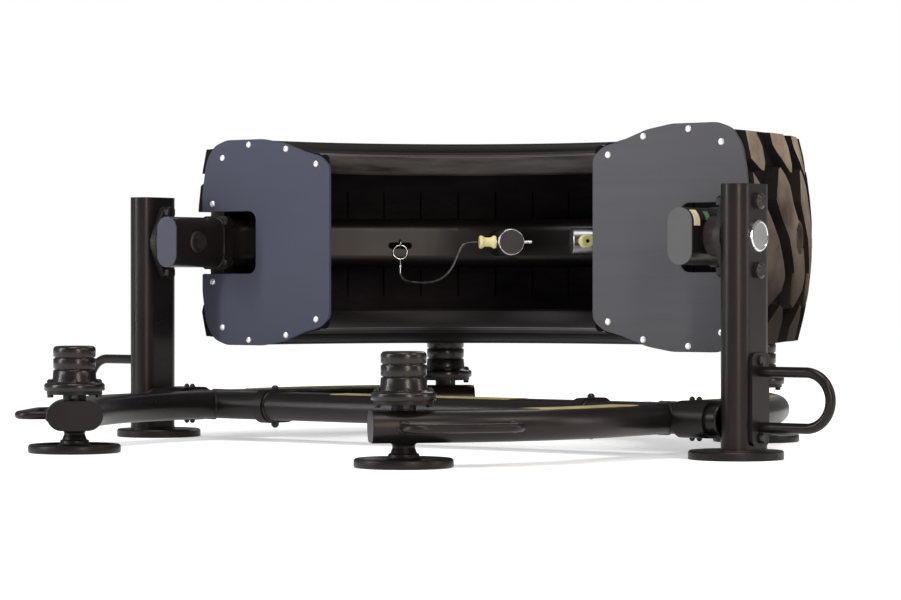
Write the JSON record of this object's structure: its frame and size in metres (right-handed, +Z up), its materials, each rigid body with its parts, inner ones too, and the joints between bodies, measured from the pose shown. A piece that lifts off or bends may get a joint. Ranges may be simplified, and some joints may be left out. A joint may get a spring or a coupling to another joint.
{
  "type": "tyre flip exercise machine",
  "caption": "Half of a heavy tyre, cut flat and faced with steel plates, swings half a turn between two posts on a tube base with rubber buffers, for tyre-flip exercise.",
  "frame": {"origin": "on the floor under the middle of the whole machine's box", "axes": "+X from the left post to the right post, +Y towards the tyre where it lies at rest, +Z up"},
  "size_m": [2.116, 1.674, 0.712],
  "materials": {
    "powder_coat": "satin black powder coat",
    "tyre_rubber": "dusty worn rubber",
    "buffer_rubber": "moulded black rubber",
    "plate_paint": "smooth grey sheet",
    "rivet_metal": "plain rivets",
    "cap_paint": "smooth grey",
    "cap_plate": "grey face with a bright rim",
    "chrome": "bright plated",
    "pin_steel": "bright steel",
    "grip_plastic": "moulded pale yellow",
    "cord_sleeve": "black sleeve",
    "black_fastener": "black coated steel",
    "bearing_iron": "painted cast iron",
    "foot_paint": "satin black"
  },
  "bodies": {
    "base": {"beam_stubs": "powder_coat", "bearing_bolts": "black_fastener", "bearing_housings": "bearing_iron", "bumper_bolts": "black_fastener", "bumper_seats": "powder_coat", "centre_beam": "powder_coat", "clamp_sleeves": "powder_coat", "frame_bolts": "black_fastener", "front_left_bumper": "buffer_rubber", "front_left_foot": "foot_paint", "front_left_handle": "powder_coat", "front_left_leg": "powder_coat", "front_right_bumper": "buffer_rubber", "front_right_foot": "foot_paint", "front_right_handle": "powder_coat", "front_right_leg": "powder_coat", "handle_plates": "powder_coat", "joint_flanges": "powder_coat", "left_post": "powder_coat", "left_post_handle": "powder_coat", "levelling_stems": "foot_paint", "pivot_caps": "cap_plate", "post_discs": "foot_paint", "post_stubs": "powder_coat", "rear_left_bumper": "buffer_rubber", "rear_left_foot": "foot_paint", "rear_left_leg": "powder_coat", "rear_right_bumper": "buffer_rubber", "rear_right_foot": "foot_paint", "rear_right_leg": "powder_coat", "right_post": "powder_coat", "right_post_handle": "powder_coat", "tube_end_caps": "powder_coat"},
    "tyre_frame": {"left_arm": "powder_coat", "right_arm": "powder_coat", "arm_caps": "cap_paint", "arm_flanges": "powder_coat", "arm_fasteners": "black_fastener", "pivot_shafts": "pin_steel", "bearing_rings": "bearing_iron", "inner_beam": "powder_coat", "tyre_brackets": "powder_coat", "tread_bolts": "black_fastener", "half_tyre": "tyre_rubber", "left_end_plate": "plate_paint", "right_end_plate": "plate_paint", "plate_rivets": "rivet_metal", "left_weight_horn": "chrome", "right_weight_horn": "chrome", "horn_discs": "cap_paint", "tether_fittings": "pin_steel"},
    "left_pin": {"left_pin": "pin_steel", "left_pin_grip": "grip_plastic", "tether_cable": "cord_sleeve"},
    "right_pin": {"right_pin": "pin_steel", "right_pin_grip": "grip_plastic"}
  },
  "joints": [
    {"name": "tyre_flip", "type": "hinge", "parent": "base", "child": "tyre_frame", "pos_m": [0, -0.08041, 0.465], "axis": [1, 0, 0], "range_deg": [0, 180]},
    {"name": "left_pin_pull", "type": "slide", "parent": "tyre_frame", "child": "left_pin", "axis": [-0.7071, -0.7071, 0], "range_m": [0, 0.08]},
    {"name": "right_pin_pull", "type": "slide", "parent": "tyre_frame", "child": "right_pin", "axis": [0.7071, -0.7071, 0], "range_m": [0, 0.08]}
  ]
}
